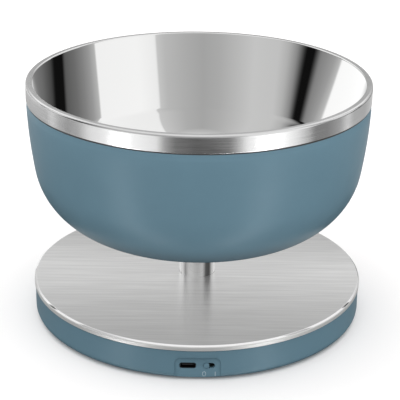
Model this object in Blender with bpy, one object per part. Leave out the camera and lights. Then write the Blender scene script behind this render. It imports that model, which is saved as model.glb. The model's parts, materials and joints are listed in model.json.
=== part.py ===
"""Motor-driven bowl on a round rechargeable base.

A steel bowl in a coloured shell lifts off a drive plate. The plate turns on a spindle inside a fixed
steel post, which stands on a round base. The base holds the gearmotor, battery, charging port and
slide switch. Units are metres, +Z is up, the front is -Y, and the origin is on the table under the post.
"""

from math import acos, cos, pi, radians, sin, sqrt, tan

import bmesh
import bpy
from mathutils import Vector

MM = 0.001

# Driving dimensions
BASE_RADIUS = 100 * MM
BOWL_RADIUS = 102 * MM
TOTAL_HEIGHT = 147.4 * MM
HOUSING_BOTTOM = 1 * MM
HOUSING_TOP = 19 * MM
PLATE_TOP = 22.5 * MM
POST_RADIUS = 11.1 * MM
POST_TOP = 55 * MM
GAP = 0.3 * MM  # kept between pieces that touch

# Bowl
SHEET = 1 * MM  # steel of the liner and of the top plate
BAND_BOTTOM = 137.2 * MM
LIP_INNER_RADIUS = 98.1 * MM
LINER_TAPER = radians(4.5)
LINER_CORNER_TOP = 97 * MM
LINER_FLOOR = 66 * MM
SHELL_WALL = 2 * MM
SHELL_TOP = 136.8 * MM
SHELL_TAPER = radians(1.4)
SHELL_WALL_SWEEP = radians(7.8)
SHELL_WALL_ARC = 313 * MM
SHELL_CORNER_ARC = 45 * MM
POCKET_RADIUS = 41 * MM
POCKET_CEILING = 62 * MM

# Base
HOUSING_WALL = 2.2 * MM
HOUSING_FILLET = 4 * MM
COVER_RADIUS = 92.9 * MM
COVER_TOP = 3 * MM
PLATE_RADIUS = 100.5 * MM
PLATE_CHAMFER = 1.2 * MM
PANEL_FACE_Y = -98.5 * MM
PANEL_CENTRE_X = 1.1 * MM
PANEL_WIDTH = 26.2 * MM
PANEL_TOP = 14.8 * MM
PANEL_CORNER = 4 * MM

# Port and switch
PORT_X = -4.4 * MM
PORT_Z = 9.2 * MM
PORT_WIDTH = 8.94 * MM
PORT_HEIGHT = 3.26 * MM
PORT_DEPTH = 7.35 * MM
SWITCH_X = 7.6 * MM
SWITCH_SLOT_WIDTH = 6.6 * MM
SWITCH_SLOT_HEIGHT = 3.5 * MM
KNOB_WIDTH = 3.2 * MM
KNOB_HEIGHT = 3 * MM
SWITCH_TRAVEL = 3 * MM
BOARD_TOP = 7.2 * MM
BOARD_THICKNESS = 1.6 * MM
BOARD_CENTRE = (1 * MM, -79.5 * MM)
BOARD_SIZE = (36 * MM, 30 * MM)

# Spindle, bearings and drive
SPINDLE_RADIUS = 4 * MM
FOOT_HEXAGON = 3.9 * MM  # centre to corner
BEARING_OUTER_RADIUS = 9.5 * MM
BEARING_INNER_RADIUS = 4.2 * MM
BEARING_WIDTH = 6 * MM
LOWER_BEARING_Z = 22.7 * MM
UPPER_BEARING_Z = 48.5 * MM
BALL_COUNT = 7
BALL_RADIUS = 1.4 * MM
BALL_PITCH_RADIUS = 6.75 * MM
CARRIER_RADIUS = 39 * MM
CARRIER_BOTTOM = 57.3 * MM
CARRIER_TOP = 59.6 * MM
DRIVE_PIN_CIRCLE = 17 * MM
GEAR_MODULE = 0.8 * MM
GEAR_TEETH = 40
PINION_TEETH = 16
GEAR_BOTTOM = 13.4 * MM
GEAR_FACE_WIDTH = 4 * MM
MOTOR_RADIUS = 17.5 * MM
MOTOR_SHAFT_OFFSET = 8 * MM
MOTOR_SHAFT_RADIUS = 2.5 * MM
POST_FLANGE_RADIUS = 30 * MM
POST_FLANGE_BOTTOM = 18.4 * MM
POST_FLANGE_TOP = 21.2 * MM

LARGE_SEGMENTS = 48
MEDIUM_SEGMENTS = 32
SMALL_SEGMENTS = 20
SCREW_SEGMENTS = 12

GEAR_DISTANCE = GEAR_MODULE * (GEAR_TEETH + PINION_TEETH) / 2
MOTOR_SHAFT_Y = GEAR_DISTANCE
MOTOR_Y = MOTOR_SHAFT_Y + MOTOR_SHAFT_OFFSET
MOTOR_EAR_X = 21 * MM
COVER_SCREW_CIRCLE = 88.5 * MM
FOOT_CIRCLE = 78 * MM
FOOT_RADIUS = 7 * MM
POST_SCREW_CIRCLE = 24 * MM
SOCKET_SCREW_CIRCLE = DRIVE_PIN_CIRCLE
GRIP_PAD_CIRCLE = 32.5 * MM
BATTERY_CENTRE = (-56 * MM, 0)
BATTERY_SIZE = (38 * MM, 60 * MM, 8.5 * MM)

# Places that the cables pass through, in millimetres, from the circuit board to the part they feed
BATTERY_CABLE_STOPS = [
    (-8, -73.4, 9.9), (-7.5, -66, 9.6), (-12, -57, 6.6), (-36, -46, 5), (-50, -38, 6), (-53, -30.9, 7.5),
]
MOTOR_CABLE_STOPS = [
    (10, -73.4, 9.9), (9.5, -64, 9.4), (20, -48, 5.5), (42, -15, 4.6), (38, 10, 5), (27, 20.6, 6),
    (16.6, 22.5, 6.5),
]


def around(count, radius, first_degrees=0.0):
    """Centres of equal parts on a circle about the post's axis."""
    angles = [radians(first_degrees) + 2 * pi * i / count for i in range(count)]
    return [(radius * cos(a), radius * sin(a)) for a in angles]


COVER_SCREW_PLACES = around(4, COVER_SCREW_CIRCLE, 22.5)
FOOT_PLACES = around(4, FOOT_CIRCLE, 45)
POST_SCREW_PLACES = around(3, POST_SCREW_CIRCLE, 30)
SOCKET_SCREW_PLACES = around(3, SOCKET_SCREW_CIRCLE, 60)
DRIVE_PIN_PLACES = around(3, DRIVE_PIN_CIRCLE)
GRIP_PAD_PLACES = around(3, GRIP_PAD_CIRCLE, 30)
MOTOR_EAR_PLACES = [(-MOTOR_EAR_X, MOTOR_Y), (MOTOR_EAR_X, MOTOR_Y)]
BOARD_SCREW_PLACES = [(-13.5 * MM, -68 * MM), (15.5 * MM, -68 * MM)]


# Materials


def material(name, colour, roughness, metallic=0.0):
    made = bpy.data.materials.new(name)
    made.use_nodes = True
    shader = made.node_tree.nodes["Principled BSDF"]
    shader.inputs["Base Color"].default_value = (*colour, 1)
    shader.inputs["Roughness"].default_value = roughness
    shader.inputs["Metallic"].default_value = metallic
    made.diffuse_color = (*colour, 1)
    return made


def make_materials():
    return {
        "polished_steel": material("polished_steel", (0.80, 0.80, 0.80), 0.08, 1),
        "brushed_steel": material("brushed_steel", (0.66, 0.66, 0.66), 0.30, 1),
        "blue_shell": material("blue_shell", (0.115, 0.205, 0.265), 0.42),
        "bearing_steel": material("bearing_steel", (0.55, 0.55, 0.57), 0.25, 1),
        "zinc_steel": material("zinc_steel", (0.58, 0.58, 0.60), 0.35, 1),
        "brass": material("brass", (0.70, 0.52, 0.25), 0.30, 1),
        "black_rubber": material("black_rubber", (0.02, 0.02, 0.02), 0.8),
        "silicone": material("silicone", (0.25, 0.27, 0.29), 0.7),
        "white_acetal": material("white_acetal", (0.80, 0.79, 0.75), 0.45),
        "black_plastic": material("black_plastic", (0.02, 0.02, 0.022), 0.5),
        "board_green": material("board_green", (0.02, 0.13, 0.06), 0.45),
        "battery_wrap": material("battery_wrap", (0.62, 0.64, 0.66), 0.35),
        "red_wire": material("red_wire", (0.50, 0.02, 0.02), 0.5),
    }


# Shape helpers


def add_object(name, data, paint, parent=None):
    obj = bpy.data.objects.new(name, data)
    bpy.context.scene.collection.objects.link(obj)
    obj.parent = parent
    if paint and not obj.data.materials:
        obj.data.materials.append(paint)
    return obj


def mesh_object(name, bm, paint, parent=None):
    """Turns a closed bmesh into a smooth-shaded object with its faces pointing out."""
    bmesh.ops.recalc_face_normals(bm, faces=bm.faces)
    if bm.calc_volume(signed=True) < 0:
        bmesh.ops.reverse_faces(bm, faces=bm.faces)
    mesh = bpy.data.meshes.new(name)
    bm.to_mesh(mesh)
    bm.free()
    mesh.shade_smooth()
    mesh.set_sharp_from_angle(angle=radians(35))
    return add_object(name, mesh, paint, parent)


def turned(name, profile, paint, segments=MEDIUM_SEGMENTS, centre=(0, 0), parent=None):
    """Solid of revolution about a vertical axis, from a closed outline of (radius, height) points."""
    bm = bmesh.new()
    verts = [bm.verts.new((r, 0, z)) for r, z in profile]
    edges = []
    for a, b in zip(verts, verts[1:] + verts[:1]):
        if a.co.x > 0 or b.co.x > 0:
            edges.append(bm.edges.new((a, b)))
    bmesh.ops.spin(
        bm, geom=verts + edges, cent=(0, 0, 0), axis=(0, 0, 1), angle=2 * pi, steps=segments, use_merge=True
    )
    bmesh.ops.remove_doubles(bm, verts=bm.verts, dist=1e-7)
    obj = mesh_object(name, bm, paint, parent)
    obj.location = (*centre, 0)
    return obj


def extruded(name, corners, along, paint, parent=None):
    """Prism whose end face has these 3-D corners, drawn out along a vector."""
    bm = bmesh.new()
    face = bm.faces.new([bm.verts.new(c) for c in corners])
    grown = bmesh.ops.extrude_face_region(bm, geom=[face])
    moved = [g for g in grown["geom"] if isinstance(g, bmesh.types.BMVert)]
    bmesh.ops.translate(bm, verts=moved, vec=along)
    return mesh_object(name, bm, paint, parent)


def block(name, low, high, paint, parent=None):
    (x0, y0, z0), (x1, y1, z1) = low, high
    corners = [(x0, y0, z0), (x1, y0, z0), (x1, y1, z0), (x0, y1, z0)]
    return extruded(name, corners, (0, 0, z1 - z0), paint, parent)


def rods(name, places, radius, low, high, segments=SCREW_SEGMENTS, turn=0.0):
    """Upright cylinders of one size in one mesh, for cutting holes or for joining on as bosses."""
    bm = bmesh.new()
    for x, y in places:
        ring = [
            bm.verts.new((x + radius * cos(turn + 2 * pi * i / segments),
                          y + radius * sin(turn + 2 * pi * i / segments), low))
            for i in range(segments)
        ]
        face = bm.faces.new(ring)
        grown = bmesh.ops.extrude_face_region(bm, geom=[face])
        moved = [g for g in grown["geom"] if isinstance(g, bmesh.types.BMVert)]
        bmesh.ops.translate(bm, verts=moved, vec=(0, 0, high - low))
    return mesh_object(name, bm, None)


def boolean(obj, other, operation):
    """Adds a Boolean with a hidden helper, which goes with the object that it shapes."""
    other.hide_render = True
    other.display_type = "WIRE"
    other.parent = obj.parent
    step = obj.modifiers.new(f"{operation.lower()} {other.name}", "BOOLEAN")
    step.operation = operation
    step.solver = "EXACT"
    step.object = other


def cut(obj, other):
    boolean(obj, other, "DIFFERENCE")


def join(obj, other):
    boolean(obj, other, "UNION")


def rounded(width, height, radius, steps=4):
    """Outline of a rectangle with round corners, about the origin."""
    centres = [
        (width / 2 - radius, height / 2 - radius, 0),
        (radius - width / 2, height / 2 - radius, 90),
        (radius - width / 2, radius - height / 2, 180),
        (width / 2 - radius, radius - height / 2, 270),
    ]
    points = []
    for cx, cy, first in centres:
        for i in range(steps + 1):
            a = radians(first + 90 * i / steps)
            points.append((cx + radius * cos(a), cy + radius * sin(a)))
    return points


def facing_front(outline, centre_x, centre_z, y):
    """Stands a flat outline up in the plane that faces the front."""
    return [(centre_x + x, y, centre_z + z) for x, z in outline]


def arc(centre, radius, start, end, steps):
    """Points of an arc in the (radius, height) plane, angles in degrees from the outward direction."""
    angles = [radians(start + (end - start) * i / steps) for i in range(steps + 1)]
    return [(centre[0] + radius * cos(a), centre[1] + radius * sin(a)) for a in angles]


def screw(name, place, top, length, paint, head_radius=2.8 * MM, shank_radius=1.1 * MM,
          head_height=1.1 * MM, head_up=True, parent=None):
    """Socket-head screw. top is the height of the head's outer face, and length includes the head."""
    way = -1 if head_up else 1
    chamfer = 0.3 * MM
    profile = [
        (0, top), (head_radius - chamfer, top), (head_radius, top + way * chamfer),
        (head_radius, top + way * head_height), (shank_radius, top + way * head_height),
        (shank_radius, top + way * (length - chamfer)), (0, top + way * length),
    ]
    obj = turned(name, profile, paint, SCREW_SEGMENTS, place, parent)
    depth = 0.7 * MM
    outer, inner = top - way * MM, top + way * depth
    socket = rods(name + "_socket", [(0, 0)], head_radius * 0.5, min(outer, inner), max(outer, inner), 6)
    cut(obj, socket)
    socket.location = (*place, 0)
    return obj


# Bowl


def shell_outline(inset):
    """Outside of the shell from its top edge to its flat floor, moved inwards by inset."""
    start_r = BOWL_RADIUS - 0.1 * MM
    wall_centre = (start_r - SHELL_WALL_ARC * cos(SHELL_TAPER), SHELL_TOP + SHELL_WALL_ARC * sin(SHELL_TAPER))
    end_angle = SHELL_TAPER + SHELL_WALL_SWEEP
    joint = (
        wall_centre[0] + SHELL_WALL_ARC * cos(end_angle),
        wall_centre[1] - SHELL_WALL_ARC * sin(end_angle),
    )
    corner_centre = (
        joint[0] - SHELL_CORNER_ARC * cos(end_angle),
        joint[1] + SHELL_CORNER_ARC * sin(end_angle),
    )
    first, last = -SHELL_TAPER * 180 / pi, -end_angle * 180 / pi
    wall = arc(wall_centre, SHELL_WALL_ARC - inset, first, last, 3)
    corner = arc(corner_centre, SHELL_CORNER_ARC - inset, last, -90, 7)
    return wall + corner[1:]


def make_shell(paint, parent):
    """Coloured outer shell. A thin tongue at its top goes up inside the liner's rolled rim."""
    tongue_outer = BOWL_RADIUS - SHEET - GAP
    tongue_inner = tongue_outer - 1.2 * MM
    outside = shell_outline(0)
    inside = shell_outline(SHELL_WALL)
    tongue_top = SHELL_TOP + 4.2 * MM
    ceiling_top = POCKET_CEILING + SHELL_WALL
    pocket_wall = POCKET_RADIUS + SHELL_WALL
    floor_top = inside[-1][1]
    profile = (
        [(tongue_outer, tongue_top), (tongue_outer, SHELL_TOP)]
        + outside
        + [
            (POCKET_RADIUS, outside[-1][1]), (POCKET_RADIUS, POCKET_CEILING), (0, POCKET_CEILING),
            (0, ceiling_top), (pocket_wall, ceiling_top), (pocket_wall, floor_top),
        ]
        + inside[::-1]
        + [(tongue_inner, SHELL_TOP + 0.4 * MM), (tongue_inner, tongue_top)]
    )
    shell = turned("bowl_shell", profile, paint, LARGE_SEGMENTS, parent=parent)
    cut(shell, rods("shell_screw_holes", SOCKET_SCREW_PLACES, 1.15 * MM, 61 * MM, 65 * MM, 8))
    return shell


def make_liner(paint, parent):
    """Pressed steel bowl, whose rim rolls over and down into the band round the outside."""
    top = TOTAL_HEIGHT
    wall_outer = LIP_INNER_RADIUS + SHEET
    fall = top - SHEET - LINER_CORNER_TOP
    corner_r = wall_outer - fall * tan(LINER_TAPER)
    floor_under = LINER_FLOOR - SHEET
    corner_arc = (LINER_CORNER_TOP - floor_under) / (1 - sin(LINER_TAPER))
    centre = (corner_r - corner_arc * cos(LINER_TAPER), floor_under + corner_arc)
    taper = LINER_TAPER * 180 / pi
    under = arc(centre, corner_arc, -90, -taper, 6)
    inside = arc(centre, corner_arc - SHEET, -taper, -90, 6)
    edge = 1.2 * MM
    lip = arc((BOWL_RADIUS - edge, top - edge), edge, 0, 90, 3)
    inner_edge = 0.6 * MM
    lip += arc((LIP_INNER_RADIUS + inner_edge, top - inner_edge), inner_edge, 90, 180, 2)
    profile = (
        [(BOWL_RADIUS - SHEET, BAND_BOTTOM), (BOWL_RADIUS, BAND_BOTTOM)]
        + lip
        + inside
        + [(0, LINER_FLOOR), (0, floor_under)]
        + under
        + [(wall_outer, top - SHEET), (BOWL_RADIUS - SHEET, top - SHEET)]
    )
    return turned("bowl_liner", profile, paint, LARGE_SEGMENTS, parent=parent)


def make_rim_seal(paint, parent):
    """Silicone ring on top of the shell's tongue, inside the rolled rim."""
    outer = BOWL_RADIUS - SHEET - GAP
    low = SHELL_TOP + 4.5 * MM
    profile = [
        (outer - 1.3 * MM, low), (outer, low), (outer, low + 2 * MM), (outer - 1.3 * MM, low + 2 * MM),
    ]
    return turned("rim_seal", profile, paint, LARGE_SEGMENTS, parent=parent)


def make_drive_socket(paint, steel, parent):
    """Ring screwed into the pocket under the bowl, with holes that drop over the drive pins."""
    low, high = CARRIER_TOP + GAP, POCKET_CEILING - GAP
    inner, outer = 10 * MM, 24 * MM
    ring = turned(
        "drive_socket", [(inner, low), (outer, low), (outer, high), (inner, high)], paint,
        MEDIUM_SEGMENTS, parent=parent,
    )
    cut(ring, rods("pin_holes", DRIVE_PIN_PLACES, 3 * MM, low - MM, high + MM))
    cut(ring, rods("socket_screw_holes", SOCKET_SCREW_PLACES, 1.15 * MM, low - MM, high + MM, 8))
    cut(ring, rods("socket_head_seats", SOCKET_SCREW_PLACES, 2.6 * MM, low - MM, low + 1.1 * MM))
    for i, place in enumerate(SOCKET_SCREW_PLACES, 1):
        screw(
            f"socket_screw_{i}", place, low, 3.8 * MM, steel, head_radius=2.3 * MM,
            shank_radius=0.85 * MM, head_height=0.8 * MM, head_up=False, parent=parent,
        )


# Rotor


def make_spindle(paint, parent):
    """Shaft with a collar that rests on the upper bearing, and a hexagon at each end."""
    r = SPINDLE_RADIUS
    groove = 3.5 * MM
    foot, foot_top = GEAR_BOTTOM - 0.8 * MM, GEAR_BOTTOM + 5.2 * MM
    collar_bottom = UPPER_BEARING_Z + BEARING_WIDTH + GAP
    collar_top = CARRIER_BOTTOM - GAP
    profile = [
        (0, foot_top - MM), (r - MM, foot_top - MM), (r, foot_top), (r, 21.2 * MM), (groove, 21.2 * MM),
        (groove, 22.4 * MM), (r, 22.4 * MM), (r, collar_bottom), (5.5 * MM, collar_bottom),
        (5.5 * MM, collar_top), (0, collar_top),
    ]
    spindle = turned("spindle", profile, paint, SMALL_SEGMENTS, parent=parent)
    join(spindle, rods("spindle_hexagon", [(0, 0)], 4.4 * MM, collar_top - MM, CARRIER_TOP - GAP, 6))
    join(spindle, rods("spindle_foot", [(0, 0)], FOOT_HEXAGON, foot, foot_top, 6))
    cut(spindle, rods("spindle_top_thread", [(0, 0)], 1.7 * MM, 48 * MM, 65 * MM, 8))
    cut(spindle, rods("spindle_foot_thread", [(0, 0)], 1.7 * MM, 5 * MM, 20.5 * MM, 8))
    return spindle


def make_retaining_ring(paint, parent):
    """Open clip in the spindle's groove, under the lower bearing."""
    inner, outer, opening = 3.75 * MM, 6.3 * MM, 35
    steps = 12
    low, thick = 21.45 * MM, 0.7 * MM
    outside = arc((0, 0), outer, opening, 360 - opening, steps)
    inside = arc((0, 0), inner, 360 - opening, opening, steps)
    corners = [(x, y, low) for x, y in outside + inside]
    return extruded("retaining_ring", corners, (0, 0, thick), paint, parent)


def make_bearing(name, bottom, paint, fixed, turning, cage_parent, cage_paint):
    """Ball bearing: an outer race, an inner race, and the balls in their cage."""
    middle = BEARING_WIDTH / 2
    groove_half, groove_depth = 1.2 * MM, 0.5 * MM
    outer_face, inner_face = 7.9 * MM, 5.6 * MM
    outer = [
        (outer_face, 0), (BEARING_OUTER_RADIUS, 0), (BEARING_OUTER_RADIUS, BEARING_WIDTH),
        (outer_face, BEARING_WIDTH), (outer_face, middle + groove_half),
        (outer_face + groove_depth, middle), (outer_face, middle - groove_half),
    ]
    inner = [
        (BEARING_INNER_RADIUS, 0), (inner_face, 0), (inner_face, middle - groove_half),
        (inner_face - groove_depth, middle), (inner_face, middle + groove_half),
        (inner_face, BEARING_WIDTH), (BEARING_INNER_RADIUS, BEARING_WIDTH),
    ]
    races = [
        turned(f"{name}_outer_race", outer, paint, SMALL_SEGMENTS, parent=fixed),
        turned(f"{name}_inner_race", inner, paint, SMALL_SEGMENTS, parent=turning),
    ]
    half_thick, half_high = 0.4 * MM, 0.9 * MM
    inner_r, outer_r = BALL_PITCH_RADIUS - half_thick, BALL_PITCH_RADIUS + half_thick
    low, high = middle - half_high, middle + half_high
    ring = [(inner_r, low), (outer_r, low), (outer_r, high), (inner_r, high)]
    cage = turned(f"{name}_balls", ring, cage_paint, SMALL_SEGMENTS, parent=cage_parent)
    bm = bmesh.new()
    for x, y in around(BALL_COUNT, BALL_PITCH_RADIUS):
        made = bmesh.ops.create_uvsphere(bm, u_segments=8, v_segments=6, radius=BALL_RADIUS)
        bmesh.ops.translate(bm, verts=made["verts"], vec=(x, y, middle))
    balls = mesh_object(f"{name}_ball_set", bm, None)
    join(cage, balls)
    for obj in [*races, cage, balls]:
        obj.location.z = bottom


def make_carrier(paint, pad_paint, steel, parent):
    """Plate on top of the spindle that carries and turns the bowl through three pins."""
    edge = 0.6 * MM
    profile = [
        (0, CARRIER_BOTTOM), (CARRIER_RADIUS - edge, CARRIER_BOTTOM), (CARRIER_RADIUS, CARRIER_BOTTOM + edge),
        (CARRIER_RADIUS, CARRIER_TOP - edge), (CARRIER_RADIUS - edge, CARRIER_TOP), (0, CARRIER_TOP),
    ]
    carrier = turned("drive_plate", profile, paint, MEDIUM_SEGMENTS, parent=parent)
    pin_top = POCKET_CEILING - 0.6 * MM
    join(carrier, rods("drive_pins", DRIVE_PIN_PLACES, 2.6 * MM, CARRIER_TOP - MM, pin_top))
    cut(carrier, rods("carrier_hexagon", [(0, 0)], 4.8 * MM, CARRIER_BOTTOM - MM, CARRIER_TOP + MM, 6))
    low, high = CARRIER_TOP + GAP, POCKET_CEILING - GAP
    pad = [(0, low), (4 * MM, low), (4 * MM, high - 0.4 * MM), (3.6 * MM, high), (0, high)]
    for i, place in enumerate(GRIP_PAD_PLACES, 1):
        turned(f"grip_pad_{i}", pad, pad_paint, 16, place, parent)
    screw(
        "drive_plate_screw", (0, 0), CARRIER_TOP + 1.9 * MM, 12 * MM, steel, head_radius=6.5 * MM,
        shank_radius=1.4 * MM, head_height=1.6 * MM, parent=parent,
    )


def involute(angle):
    return tan(angle) - angle


def gear_outline(teeth, backlash):
    """Outline of a 20-degree involute gear whose first tooth points along +X."""
    pitch_radius = GEAR_MODULE * teeth / 2
    base_radius = pitch_radius * cos(radians(20))
    tip_radius = pitch_radius + 0.85 * GEAR_MODULE
    root_radius = pitch_radius - 1.2 * GEAR_MODULE
    half_tooth = pi / (2 * teeth) - backlash / (2 * pitch_radius) + involute(radians(20))
    flank = []
    for radius in (root_radius, pitch_radius, tip_radius):
        pressure = acos(min(1, base_radius / radius))
        flank.append((radius, half_tooth - involute(pressure)))
    points = []
    for i in range(teeth):
        middle = 2 * pi * i / teeth
        for radius, half in flank:
            points.append((radius, middle - half))
        for radius, half in reversed(flank):
            points.append((radius, middle + half))
    return [(r * cos(a), r * sin(a)) for r, a in points]


def make_gear(name, teeth, turn, bore, paint, parent, bore_sides=SMALL_SEGMENTS, hub=None):
    """Spur gear about its parent's axis. hub is (radius, bottom, top)."""
    backlash = 0.22 * MM
    outline = gear_outline(teeth, backlash)
    turned_points = [(x * cos(turn) - y * sin(turn), x * sin(turn) + y * cos(turn)) for x, y in outline]
    corners = [(x, y, GEAR_BOTTOM) for x, y in turned_points]
    gear = extruded(name, corners, (0, 0, GEAR_FACE_WIDTH), paint, parent)
    if hub:
        radius, low, high = hub
        join(gear, rods(f"{name}_hub", [(0, 0)], radius, low, high, SMALL_SEGMENTS))
    cut(gear, rods(f"{name}_bore", [(0, 0)], bore, GEAR_BOTTOM - 5 * MM, GEAR_BOTTOM + 9 * MM, bore_sides))
    return gear


# Base


def make_post(paint):
    """Fixed steel post with the flange that bolts it down inside the base."""
    bore, shoulder = BEARING_OUTER_RADIUS + GAP, 8.4 * MM
    shoulder_top = LOWER_BEARING_Z - GAP
    profile = [
        (shoulder, POST_FLANGE_BOTTOM), (POST_FLANGE_RADIUS, POST_FLANGE_BOTTOM),
        (POST_FLANGE_RADIUS, POST_FLANGE_TOP), (POST_RADIUS, POST_FLANGE_TOP), (POST_RADIUS, POST_TOP),
        (bore, POST_TOP), (bore, shoulder_top), (shoulder, shoulder_top),
    ]
    post = turned("post", profile, paint, MEDIUM_SEGMENTS)
    seat = POST_FLANGE_TOP - 1.5 * MM
    above, below = POST_FLANGE_TOP + MM, POST_FLANGE_BOTTOM - MM
    cut(post, rods("post_screw_holes", POST_SCREW_PLACES, 1.6 * MM, below, above, 8))
    cut(post, rods("post_head_seats", POST_SCREW_PLACES, 3.2 * MM, seat, above))


def make_post_fittings(spacer_paint, cap_paint):
    """Tube that holds the bearings apart, and the cap that closes the post."""
    low = LOWER_BEARING_Z + BEARING_WIDTH + GAP
    high = UPPER_BEARING_Z - GAP
    turned("bearing_spacer", [(8.1 * MM, low), (9.5 * MM, low), (9.5 * MM, high), (8.1 * MM, high)],
           spacer_paint, SMALL_SEGMENTS)
    lip_low = UPPER_BEARING_Z + BEARING_WIDTH + GAP
    low, high = POST_TOP + GAP, POST_TOP + 1.3 * MM
    profile = [
        (6.4 * MM, low), (6.4 * MM, high), (POST_RADIUS - 0.4 * MM, high), (POST_RADIUS, high - 0.4 * MM),
        (POST_RADIUS, low), (9.4 * MM, low), (9.4 * MM, lip_low), (8.2 * MM, lip_low), (8.2 * MM, low),
    ]
    turned("post_cap", profile, cap_paint, MEDIUM_SEGMENTS)


def make_top_plate(paint):
    """Brushed steel lid with a chamfered edge and a turned-down skirt."""
    top, under = PLATE_TOP, PLATE_TOP - SHEET
    skirt_bottom = HOUSING_TOP + 0.25 * MM
    hole = POST_RADIUS + GAP
    profile = [
        (hole, under), (hole, top), (PLATE_RADIUS - PLATE_CHAMFER, top),
        (PLATE_RADIUS, top - PLATE_CHAMFER), (PLATE_RADIUS, skirt_bottom),
        (PLATE_RADIUS - SHEET, skirt_bottom), (PLATE_RADIUS - SHEET, top - PLATE_CHAMFER - 0.2 * MM),
        (PLATE_RADIUS - PLATE_CHAMFER - 0.4 * MM, under),
    ]
    turned("top_plate", profile, paint, LARGE_SEGMENTS)


def make_housing(paint):
    """Coloured side wall of the base, with a flat panel at the front for the port and the switch."""
    wall = BASE_RADIUS - HOUSING_WALL
    opening = COVER_RADIUS + GAP
    ledge = 91 * MM
    flange = 94 * MM
    fillet = arc((BASE_RADIUS - HOUSING_FILLET, HOUSING_BOTTOM + HOUSING_FILLET), HOUSING_FILLET, 0, -90, 5)
    profile = (
        [(wall, HOUSING_TOP), (BASE_RADIUS, HOUSING_TOP)]
        + fillet
        + [
            (opening, HOUSING_BOTTOM), (opening, COVER_TOP + GAP), (ledge, COVER_TOP + GAP),
            (ledge, 5.3 * MM), (wall, 5.3 * MM), (wall, 16.4 * MM), (flange, 16.4 * MM),
            (flange, 18.4 * MM), (wall, 18.4 * MM),
        ]
    )
    housing = turned("base_housing", profile, paint, LARGE_SEGMENTS)
    backing = block(
        "panel_backing", (-14 * MM, -98.6 * MM, 4 * MM), (16.2 * MM, -96 * MM, 17 * MM), None
    )
    join(housing, backing)
    bosses = rods("cover_bosses", COVER_SCREW_PLACES, 4 * MM, COVER_TOP + GAP, 15.5 * MM, SCREW_SEGMENTS)
    join(housing, bosses)
    cut(housing, rods("cover_boss_holes", COVER_SCREW_PLACES, 1.3 * MM, COVER_TOP - MM, 13 * MM, 8))
    panel = panel_outline()
    cut(housing, extruded("panel_recess", panel, (0, PANEL_FACE_Y + 110 * MM, 0), None))
    port = rounded(PORT_WIDTH + 2 * GAP, PORT_HEIGHT + 2 * GAP, 1.8 * MM, 3)
    slot = rounded(SWITCH_SLOT_WIDTH, SWITCH_SLOT_HEIGHT, SWITCH_SLOT_HEIGHT / 2 - 0.01 * MM, 4)
    for name, outline, x in (("port_hole", port, PORT_X), ("switch_slot", slot, SWITCH_X)):
        face = facing_front(outline, x, PORT_Z, -BASE_RADIUS)
        cut(housing, extruded(name, face, (0, 6 * MM, 0), None))


def panel_outline():
    """Front panel's outline: two round top corners, open below the base."""
    left, right = PANEL_CENTRE_X - PANEL_WIDTH / 2, PANEL_CENTRE_X + PANEL_WIDTH / 2
    low = HOUSING_BOTTOM - MM
    high = PANEL_TOP - PANEL_CORNER
    corners = [(left, low), (right, low)]
    corners += arc((right - PANEL_CORNER, high), PANEL_CORNER, 0, 90, 4)
    corners += arc((left + PANEL_CORNER, high), PANEL_CORNER, 90, 180, 4)
    return [(x, -110 * MM, z) for x, z in corners]


def make_cover(paint, steel, foot_paint):
    """Bottom cover with the bosses that everything inside bolts to, its screws, and the rubber feet."""
    profile = [
        (0, HOUSING_BOTTOM), (COVER_RADIUS, HOUSING_BOTTOM), (COVER_RADIUS, COVER_TOP), (0, COVER_TOP),
    ]
    cover = turned("bottom_cover", profile, paint, LARGE_SEGMENTS)
    inside = COVER_TOP - 0.5 * MM
    join(cover, rods("post_bosses", POST_SCREW_PLACES, 4 * MM, inside, POST_FLANGE_BOTTOM - GAP))
    join(cover, rods("motor_bosses", MOTOR_EAR_PLACES, 3.4 * MM, inside, 11.3 * MM))
    board_under = BOARD_TOP - BOARD_THICKNESS - GAP
    join(cover, rods("board_bosses", BOARD_SCREW_PLACES, 3 * MM, inside, board_under))
    cut(cover, rods("post_boss_holes", POST_SCREW_PLACES, 1.3 * MM, 8 * MM, 20 * MM, 8))
    cut(cover, rods("motor_boss_holes", MOTOR_EAR_PLACES, 1.3 * MM, 5 * MM, 13 * MM, 8))
    cut(cover, rods("board_boss_holes", BOARD_SCREW_PLACES, 1.4 * MM, 4 * MM, 9 * MM, 8))
    cut(cover, rods("cover_holes", COVER_SCREW_PLACES, 1.6 * MM, -MM, 5 * MM, 8))
    cut(cover, rods("cover_head_seats", COVER_SCREW_PLACES, 3.1 * MM, -MM, 2.3 * MM))
    cut(cover, rods("foot_seats", FOOT_PLACES, FOOT_RADIUS + GAP, -MM, 2.1 * MM, SMALL_SEGMENTS))
    for i, place in enumerate(COVER_SCREW_PLACES, 1):
        screw(f"cover_screw_{i}", place, 1.1 * MM, 9 * MM, steel, head_up=False)
    foot = [
        (0, 0), (FOOT_RADIUS - 0.5 * MM, 0), (FOOT_RADIUS, 0.5 * MM), (FOOT_RADIUS, 1.8 * MM), (0, 1.8 * MM),
    ]
    for i, place in enumerate(FOOT_PLACES, 1):
        turned(f"foot_{i}", foot, foot_paint, SMALL_SEGMENTS, place)
    for i, place in enumerate(POST_SCREW_PLACES, 1):
        screw(f"post_screw_{i}", place, POST_FLANGE_TOP - 0.2 * MM, 9 * MM, steel)


def make_plate_gasket(paint):
    """Foam ring that beds the top plate on the housing's flange."""
    low, high = 18.7 * MM, PLATE_TOP - SHEET - GAP
    inner, outer = 94.5 * MM, 97.3 * MM
    turned("plate_gasket", [(inner, low), (outer, low), (outer, high), (inner, high)], paint, LARGE_SEGMENTS)


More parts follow.
